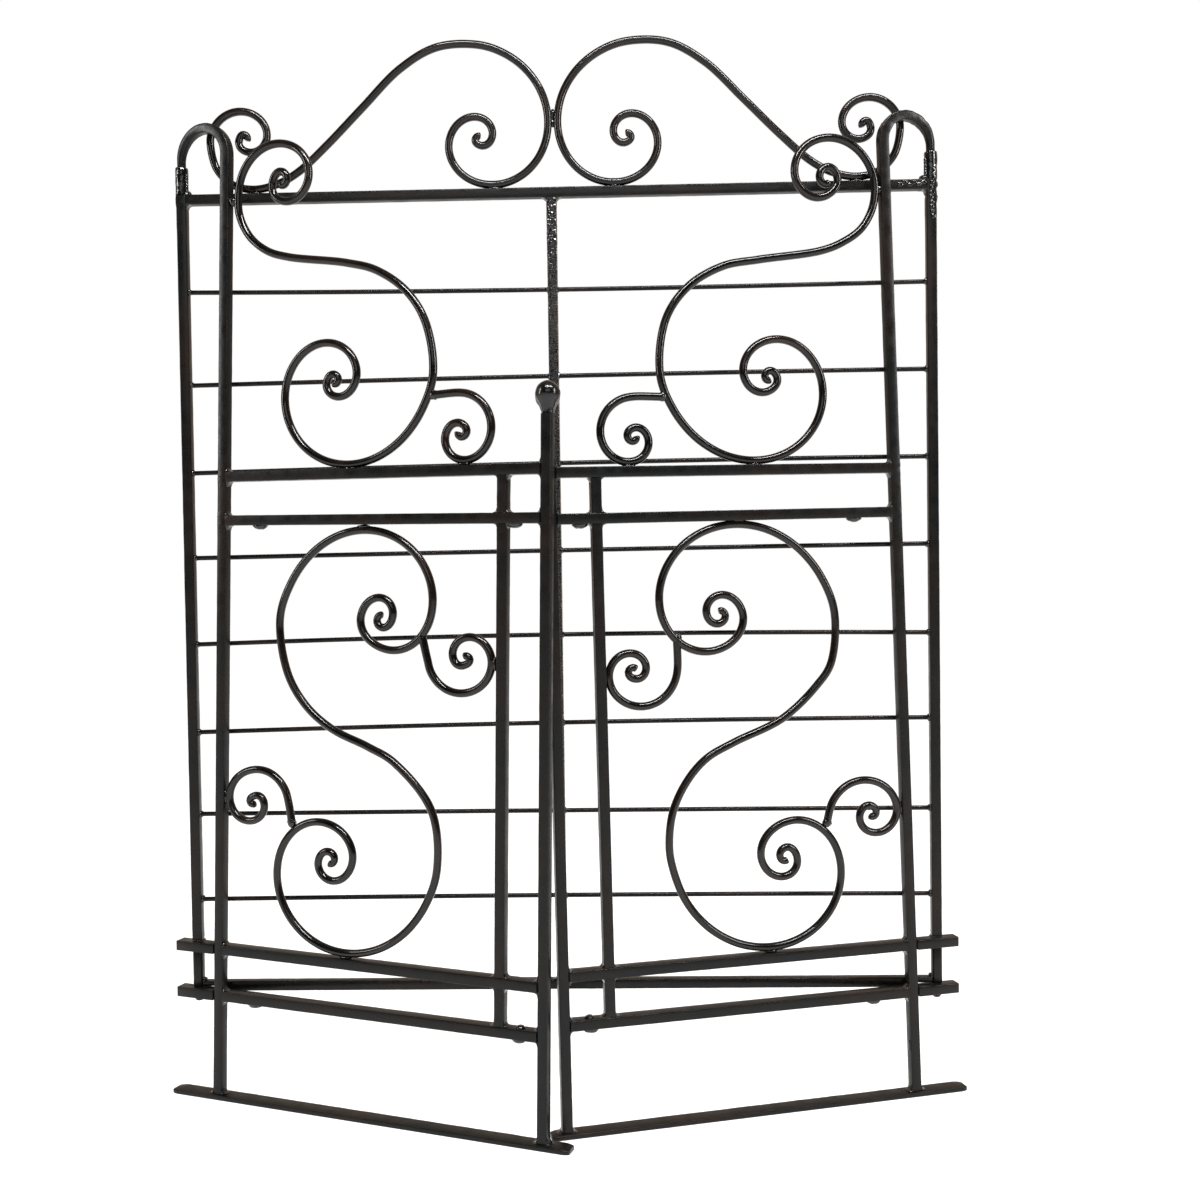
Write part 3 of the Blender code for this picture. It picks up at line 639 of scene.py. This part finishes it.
def notched_rail(node):
    """A bar cut away from below at its ends, over the leaves' lower arms."""
    low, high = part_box(node)
    corners = [vertex.co for vertex in NODES[node].data.vertices]
    notch_z = {LEFT: min(p.z for p in corners if p.x < low.x + END_FACE_DEPTH),
               RIGHT: min(p.z for p in corners if p.x > high.x - END_FACE_DEPTH)}
    edges = {side: HINGE[leaf_body(side)].x - side * BOTTOM_RAIL_NOTCH for side in (LEFT, RIGHT)}
    length = high.x - low.x
    hot = [0.0, edges[LEFT] - low.x, edges[RIGHT] - low.x, length]
    middle_y, half_y = (low.y + high.y) / 2, (high.y - low.y) / 2
    rings = []
    for place in stations(length, hot):
        x = low.x + place
        bottom = low.z
        for side in (LEFT, RIGHT):
            if (x - edges[side]) * side > 0:
                bottom = notch_z[side]
        middle, half = (high.z + bottom) / 2, (high.z - bottom) / 2
        centre = Vector((x, middle_y, middle))
        rings.append([forged(centre + Z * a + Y * b, Z * na + Y * nb)
                      for a, b, (na, nb) in bar_section(half, half_y)])
    stand_for(node, skin(node, rings))


def socket(side, welds, lump):
    """A pipe end, brazed lumpily on the post's top."""
    node = "back_socket_" + SIDE_NAME[side]
    low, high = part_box(node)
    centre = Vector(((low.x + high.x) / 2, (low.y + high.y) / 2, 0))
    outer, bore, sides = SOCKET_RADIUS, SOCKET_BORE, SOCKET_SIDES
    profile = [(outer, low.z + rise) for rise in (0, 0.004, 0.010, 0.016, 0.022, 0.028)]
    profile += [(outer, high.z - 0.0016), (outer - 0.0005, high.z - 0.0004), (outer - 0.0014, high.z),
                (bore + 0.0006, high.z), (bore, high.z - 0.0006), (bore, low.z)]
    rings = []
    for radius, z in profile:
        ring = []
        for k in range(sides):
            outward = Vector((cos(2 * pi * k / sides), sin(2 * pi * k / sides), 0))
            point = centre + outward * radius + Z * z
            rough = lump * 0.55 if radius > bore + 0.001 else 0.0
            ring.append(point + outward * rough * noise.noise(point * 210))
        rings.append(ring)
    stand_for(node, skin(node, rings, ring_shaped=True))
    inward = -side
    seam = centre + X * inward * 0.0072 - Y * 0.0040
    for k in range(7):
        size = 0.0022 + 0.0008 * noise.noise(Vector((k * 1.7, side, 0)))
        welds.blob(seam + Z * (low.z + 0.004 * k), (size, size, 0.0030), rough=0.35)
    size = 0.0050 if side == LEFT else 0.0066
    beside = centre + X * inward * 0.0080 + Z * (low.z + 0.0005)
    welds.blob(beside, (size, 0.0065, size * 0.8), rough=0.35)
    if side == RIGHT:
        for k in range(9):
            drop = Vector((0.0040 * noise.noise(Vector((k * 2.3, 1, 0))), -0.0064, -0.006 * k))
            welds.blob(centre + Z * low.z + drop, (0.0032, 0.0016, 0.0040), rough=0.45)
        for k in range(6):
            along = X * inward * (0.010 + 0.006 * k) - Y * 0.0063 - Z * (0.0045 + 0.003 * (k % 2))
            welds.blob(centre + Z * low.z + along, (0.0038, 0.0014, 0.0030), rough=0.45)


def eased_copy(node, width):
    """A CAD solid's own shape with its edges softened."""
    bm = bmesh.new()
    bm.from_mesh(NODES[node].data)
    bmesh.ops.remove_doubles(bm, verts=bm.verts, dist=0.00001)
    bmesh.ops.dissolve_limit(bm, angle_limit=radians(2), verts=bm.verts, edges=bm.edges)
    sharp = [edge for edge in bm.edges if edge.is_manifold and edge.calc_face_angle() > radians(35)]
    bmesh.ops.bevel(bm, geom=sharp, offset=width, segments=2, profile=0.5,
                    affect="EDGES", clamp_overlap=True)
    return stand_for(node, mesh_of(node, bm, radians(40)))


# Leaves ----------------------------------------------------------------------------------------

def leaned(u, z, ends, leans):
    """u of a point at height z, on a line that starts at u and leans as its place between the ends says."""
    share = (u - ends[0]) / (ends[1] - ends[0])
    return u + z * (leans[0] + (leans[1] - leans[0]) * share)


class LeafPlane:
    """A leaf's upright plane at rest, from its hinge axis."""

    def __init__(self, side):
        self.side = side
        self.tag = SIDE_NAME[side] + "_"
        self.body = leaf_body(side)
        turn = Matrix.Rotation(REST_ANGLE[side], 3, "Z")
        self.along = turn @ Vector((-side, 0, 0))
        self.front = turn @ Vector((0, -1, 0))
        self.axis = HINGE[self.body]
        self.post_u = HINGE_POST_U[side]
        self.welds = WeldMetal()

    def leaned(self, u, z):
        """The uprights lean: the hinge post most, the meeting stile least."""
        leans = (HINGE_POST_LEAN[self.side], STILE_LEAN[self.side])
        return leaned(u, z, (self.post_u, STILE_U[self.side]), leans)

    def point(self, u, v, z):
        return self.axis + self.along * u + self.front * v + Z * z

    def lift(self, path):
        """A flat path of (u, z) set into the leaf."""
        return [self.point(leaned(p.x, p.y, GRID_U, GRID_LEAN), LEAF_FORWARD, p.y) for p in path]

    def rail_height(self, name, u):
        """Height of a rail's centre line, u along the leaf."""
        near, far = ends_of(self.tag + name, self.along)
        first, last = ((end - self.axis).dot(self.along) for end in (near, far))
        return near.z + (far.z - near.z) * (u - first) / (last - first)


def upright_bars(leaf):
    names = ("meeting_stile", "inner_bar_upper", "inner_bar_middle", "inner_bar_lower")
    for name in names:
        low, high = ends_of(leaf.tag + name, Z)
        top_lump = 0.0 if name == "meeting_stile" else BAR_WELD
        lumps = (BAR_WELD, top_lump)
        mesh = straight_bar(name, low, high, leaf.along, leaf.front, HALF_BAR, HALF_BAR, lumps)
        stand_for(leaf.tag + name, mesh)
        leaf.welds.corner_pair(low, -Z, leaf.along, leaf.front, HALF_BAR, HALF_BAR, UPRIGHT_FILLET)
        if top_lump:
            leaf.welds.corner_pair(high, Z, leaf.along, leaf.front, HALF_BAR, HALF_BAR, UPRIGHT_FILLET)


RAILS = ("upper_mid_rail", "lower_mid_rail", "upper_bottom_rail", "lowest_rail")


def rails(leaf):
    lumps = (BAR_WELD, BAR_WELD)
    for name in RAILS:
        near, far = ends_of(leaf.tag + name, leaf.along)
        mesh = straight_bar(name, near, far, Z, leaf.front, HALF_BAR, RAIL_HALF_DEPTH, lumps)
        stand_for(leaf.tag + name, mesh)
        for end, outward in ((near, -leaf.along), (far, leaf.along)):
            leaf.welds.corner_pair(end, outward, Z, leaf.front, HALF_BAR, HALF_BAR, RAIL_FILLET)


def hinge_post(leaf):
    """Foot to crook in one bar, rounding into the spigot over the hinge axis."""
    node = leaf.tag + "hinge_post"
    foot_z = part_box(node)[0].z
    socket_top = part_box("back_socket_" + SIDE_NAME[leaf.side])[1].z
    spring_u = leaf.leaned(leaf.post_u, CROOK_SPRING_Z)
    radius = spring_u / 2
    neck = SPIGOT_RADIUS + 0.0007
    hot = [foot_z] + [leaf.rail_height(name, leaf.post_u) for name in RAILS]
    welds = [(leaf.point(leaf.leaned(leaf.post_u, z), LEAF_FORWARD, z), 0.022, BAR_WELD) for z in hot]
    beside = leaf.point(leaf.leaned(leaf.post_u, SCROLL_WELD_Z), LEAF_FORWARD, SCROLL_WELD_Z)
    welds.append((beside, 0.020, 0.0008))
    rings = []
    for place in stations(CROOK_SPRING_Z - foot_z, [z - foot_z for z in (*hot, SCROLL_WELD_Z)]):
        z = foot_z + place
        centre = leaf.point(leaf.leaned(leaf.post_u, z), LEAF_FORWARD, z)
        ring = []
        for a, b, (na, nb) in bar_section(HALF_BAR, HALF_BAR):
            outward = leaf.along * na + leaf.front * nb
            ring.append(forged(centre + leaf.along * a + leaf.front * b, outward, welds))
        rings.append(ring)
    for i in range(1, CROOK_BENDS + 1):
        share = i / CROOK_BENDS
        angle = pi * share
        half = HALF_BAR + (neck - HALF_BAR) * share
        edge = EDGE + (half * 0.995 - EDGE) * share ** 3
        forward = LEAF_FORWARD * (1 + cos(angle)) / 2
        ring = []
        for a, b, (na, nb) in bar_section(half, half, edge):
            out = leaf.along * cos(angle) + Z * sin(angle)
            centre = leaf.point(radius, forward, CROOK_SPRING_Z) + out * radius
            outward = out * na + leaf.front * nb
            lumpiness = CROOK_WOBBLE[leaf.side] * sin(angle)
            ring.append(forged(centre + out * a + leaf.front * b, outward, (), lumpiness))
        rings.append(ring)
    tip = socket_top + 0.0006
    for size, z in ((neck, tip + 0.0008), (neck - 0.0006, tip), (SPIGOT_RADIUS - 0.0002, tip - 0.0001),
                    (SPIGOT_RADIUS - 0.0002, tip - SPIGOT_DEPTH),
                    (SPIGOT_RADIUS - 0.0012, tip - SPIGOT_DEPTH - 0.001)):
        centre = leaf.point(0, 0, z)
        section = bar_section(size, size, size * 0.995)
        rings.append([centre - leaf.along * a + leaf.front * b for a, b, normal in section])
    stand_for(node, skin(node, rings))


def ball_finial(leaf):
    """A forged ball drawn down to the stile's square."""
    node = leaf.tag + "ball_finial"
    low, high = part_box(node)
    centre = Vector(((low.x + high.x) / 2, (low.y + high.y) / 2, 0))
    radius, sides = BALL_RADIUS, BALL_SIDES
    ball_z = high.z - radius
    rings = []
    levels = [(None, low.z), (None, low.z + 0.002), (0.0071, low.z + 0.0045), (0.0086, low.z + 0.0075)]
    for degrees in range(-45, 88, 11):
        levels.append((radius * cos(radians(degrees)), ball_z + radius * sin(radians(degrees))))
    for size, z in levels:
        ring = []
        for k in range(sides):
            turn = 2 * pi * (k + 0.5) / sides
            way = leaf.along * cos(turn) + leaf.front * sin(turn)
            square = HALF_BAR / max(abs(cos(turn)), abs(sin(turn)))
            reach = min(square, HALF_BAR * 1.28) if size is None else size
            point = centre + way * reach + Z * z
            outward = (point - centre - Z * ball_z).normalized()
            ring.append(forged(point, outward, (), BALL_WOBBLE))
        rings.append(ring)
    stand_for(node, skin(node, rings))
    seam = centre + Z * (low.z + 0.0010)
    leaf.welds.blob(seam, (0.0074, 0.0070, 0.0030), (leaf.along, leaf.front, Z), 0.3)


def foot_bar(leaf):
    """Flat bar on the floor, its ends a little thinner and narrower."""
    node = leaf.tag + "foot_bar"
    points = [v.co for v in NODES[node].data.vertices]
    reach = [(p - leaf.axis).dot(leaf.along) for p in points]
    near, far = min(reach), max(reach)
    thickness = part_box(node)[1].z
    rings = []
    length = far - near
    for place in stations(length, [0.0, length]):
        edge_room = min(place, length - place)
        narrow = min(1.0, 0.72 + 0.28 * sqrt(edge_room / 0.007))
        thin = 0.84 + 0.16 * min(1.0, edge_room / 0.012)
        top = thickness * thin
        ring = []
        for a, b, (na, nb) in bar_section(top / 2, FOOT_HALF_WIDTH * narrow, FOOT_EDGE):
            centre = leaf.point(near + place, LEAF_FORWARD, top / 2)
            point = centre + Z * a + leaf.front * b
            lift = 0.0 if na < -0.3 else 1.0
            ring.append(forged(point, (Z * na + leaf.front * nb) * lift, (), FOOT_WOBBLE))
        rings.append(ring)
    stand_for(node, skin(node, rings))


def scrolls(leaf):
    side = leaf.side
    top = s_path(TOP_S_UPPER_COIL[side], TOP_S_WAIST[side], TOP_S_LOWER_COIL[side], -90)
    lower = s_path(LOWER_S_UPPER_COIL[side], LOWER_S_WAIST[side], LOWER_S_LOWER_COIL[side], 90)
    small_upper = c_path(SMALL_UPPER_COIL[side], SMALL_UPPER_END[side], 90, -1)
    small_lower = c_path(SMALL_LOWER_COIL[side], SMALL_LOWER_END[side], -90, -1)
    mid_c = c_path(MID_C_COIL[side], MID_C_END[side], 180, 1)
    paths = {"top_scroll": (top, (True, True)), "lower_s_scroll": (lower, (True, True)),
             "small_upper_scroll": (small_upper, (True, False)),
             "small_lower_scroll": (small_lower, (True, False)), "mid_c_scroll": (mid_c, (True, False))}
    for name, (flat, eyes) in paths.items():
        spots = contacts(name, flat, side)
        welds = [(leaf.lift([place])[0], 0.012, 0.0006) for place, radii in spots]
        node = leaf.tag + name
        stand_for(node, rod(node, leaf.lift(flat), leaf.front, eyes, welds))
        for place, radii in spots:
            leaf.welds.blob(leaf.lift([place])[0], radii, (leaf.along, leaf.front, Z))


def contacts(name, flat, side):
    """Where a scroll meets its neighbours, with the size of the weld there."""
    lowest = min(flat, key=lambda p: p.y)
    under = Vector((lowest.x, lowest.y - BEAD_OFFSET))
    if name == "lower_s_scroll":
        highest = max(flat, key=lambda p: p.y)
        return [(under, FLAT_BEAD), (Vector((highest.x, highest.y + BEAD_OFFSET)), FLAT_BEAD)]
    if name == "top_scroll":
        beside = min((p for p in flat if p.y > 1.1), key=lambda p: p.x)
        reach = {LEFT: 0.0078, RIGHT: 0.0058}[side]
        at_post = Vector((beside.x - reach, SCROLL_WELD_Z))
        return [(under, FLAT_BEAD), (at_post, (0.0060, 0.0050, 0.0064))]
    if name == "mid_c_scroll":
        return [(under, FLAT_BEAD), (flat[-1], JOIN_BEAD)]
    if name == "small_upper_scroll":
        beside = max(flat, key=lambda p: p.x)
        return [(Vector((beside.x + BEAD_OFFSET, beside.y)), SIDE_BEAD), (flat[-1], JOIN_BEAD)]
    beside = min(flat, key=lambda p: p.x)
    return [(Vector((beside.x - BEAD_OFFSET, beside.y)), SIDE_BEAD), (flat[-1], JOIN_BEAD)]


def studs(leaf):
    """Low round heads under the lower middle and lowest rails."""
    for name, places in (("lower_mid_rail", (0.113, 0.466)), ("lowest_rail", (0.091, 0.461))):
        for u in places:
            centre = leaf.point(u, LEAF_FORWARD, leaf.rail_height(name, u) - HALF_BAR - 0.0004)
            leaf.welds.blob(centre, (0.0100, 0.0072, 0.0052), (leaf.along, leaf.front, Z), 0.15)
            if name == "lowest_rail" and u > 0.4:
                above = centre + Z * (2 * HALF_BAR + 0.0006) + leaf.along * 0.002
                leaf.welds.blob(above, (0.0060, 0.0060, 0.0034), (leaf.along, leaf.front, Z), 0.2)


def leaf_pieces(side):
    leaf = LeafPlane(side)
    hinge_post(leaf)
    upright_bars(leaf)
    rails(leaf)
    ball_finial(leaf)
    foot_bar(leaf)
    scrolls(leaf)
    studs(leaf)
    for name in ("upper_pivot_arm", "lower_pivot_arm"):
        eased_copy(leaf.tag + name, 0.0011)
    post_foot = leaf.point(leaf.leaned(leaf.post_u, 0.006), LEAF_FORWARD, 0.0068)
    leaf.welds.corner_pair(post_foot, -Z, leaf.along, leaf.front, HALF_BAR, HALF_BAR, UPRIGHT_FILLET)
    if side == RIGHT:
        drip = leaf.point(leaf.leaned(leaf.post_u, 0.065) + HALF_BAR, LEAF_FORWARD + 0.002, 0.065)
        leaf.welds.blob(drip, (0.0022, 0.0022, 0.0075), (leaf.along, leaf.front, Z), 0.2)
    leaf.welds.finish(leaf.tag + "leaf_welds", leaf.body, SLOT_OF[leaf.tag + "lowest_rail"])


# Stage -----------------------------------------------------------------------------------------

def floor():
    bm = bmesh.new()
    bmesh.ops.create_grid(bm, x_segments=2, y_segments=2, size=12)
    ground = bpy.data.objects.new("floor", mesh_of("floor", bm))
    bpy.context.scene.collection.objects.link(ground)
    material = bpy.data.materials.new("pale_floor")
    material.use_nodes = True
    shader = material.node_tree.nodes["Principled BSDF"]
    shader.inputs["Base Color"].default_value = (0.40, 0.40, 0.395, 1)
    shader.inputs["Roughness"].default_value = 0.65
    shader.inputs["Emission Color"].default_value = (1, 1, 1, 1)
    shader.inputs["Emission Strength"].default_value = 0.90
    ground.data.materials.append(material)


def world():
    """A white backdrop as seen; as a light, a bright wall behind the gate and a dim room before it."""
    sky = bpy.data.worlds.new("studio")
    bpy.context.scene.world = sky
    sky.use_nodes = True
    tree = sky.node_tree
    link = tree.links.new
    backdrop = tree.nodes["Background"]
    backdrop.inputs["Color"].default_value = (1, 1, 1, 1)
    direction = node_of(tree, "ShaderNodeTexCoord").outputs["Generated"]
    split = node_of(tree, "ShaderNodeSeparateXYZ")
    link(direction, split.inputs["Vector"])
    depth = node_of(tree, "ShaderNodeMapRange")
    depth.inputs["From Min"].default_value = -1.0
    link(split.outputs["Y"], depth.inputs["Value"])
    room = node_of(tree, "ShaderNodeValToRGB")
    room.color_ramp.elements[0].position = 0.30
    room.color_ramp.elements[0].color = (0.030, 0.031, 0.033, 1)
    room.color_ramp.elements[1].position = 0.90
    room.color_ramp.elements[1].color = (0.58, 0.48, 0.40, 1)
    link(depth.outputs["Result"], room.inputs["Fac"])
    surroundings = node_of(tree, "ShaderNodeBackground")
    link(room.outputs["Color"], surroundings.inputs["Color"])
    seen = node_of(tree, "ShaderNodeLightPath").outputs["Is Camera Ray"]
    either = node_of(tree, "ShaderNodeMixShader")
    link(seen, either.inputs[0])
    link(surroundings.outputs["Background"], either.inputs[1])
    link(backdrop.outputs["Background"], either.inputs[2])
    link(either.outputs["Shader"], tree.nodes["World Output"].inputs["Surface"])


def area_light(name, location, target, size, energy):
    lamp = bpy.data.lights.new(name, "AREA")
    lamp.shape = "RECTANGLE"
    lamp.size, lamp.size_y = size
    lamp.energy = energy
    holder = bpy.data.objects.new(name, lamp)
    holder.location = location
    holder.rotation_euler = (Vector(target) - Vector(location)).to_track_quat("-Z", "Y").to_euler()
    bpy.context.scene.collection.objects.link(holder)


def camera():
    lens = bpy.data.cameras.new("camera")
    lens.lens = 39.0
    lens.sensor_width = 36.0
    eye = bpy.data.objects.new("camera", lens)
    bpy.context.scene.collection.objects.link(eye)
    yaw, pitch, roll = radians(1.459), radians(-1.445), radians(0.803)
    turn = Matrix.Rotation(yaw, 3, "Z") @ Matrix.Rotation(pitch, 3, "X") @ Matrix.Rotation(roll, 3, "Y")
    turn = turn @ Matrix.Rotation(pi / 2, 3, "X")
    middle = (HINGE["left_leaf"] + HINGE["right_leaf"]) / 2
    place = middle + Vector((0.0947, -1.6767, 0.6817))
    eye.matrix_world = Matrix.Translation(place) @ turn.to_4x4()
    bpy.context.scene.camera = eye


camera()
floor()
world()
area_light("ceiling_light", (0.4, -1.2, 3.0), (0, 0, 0.6), (2.2, 0.16), 110)
area_light("window_right", (2.6, -0.9, 1.8), (0, 0, 0.7), (0.22, 1.8), 52)
area_light("window_left", (-2.6, -0.7, 1.6), (0, 0, 0.7), (0.18, 1.6), 26)
area_light("pale_wall_before", (0, -3.2, 2.1), (0, 0, 1.1), (2.4, 1.2), 15)
bpy.context.scene.view_settings.view_transform = "Standard"

back_frame_pieces()
for leaf_side in (LEFT, RIGHT):
    leaf_pieces(leaf_side)
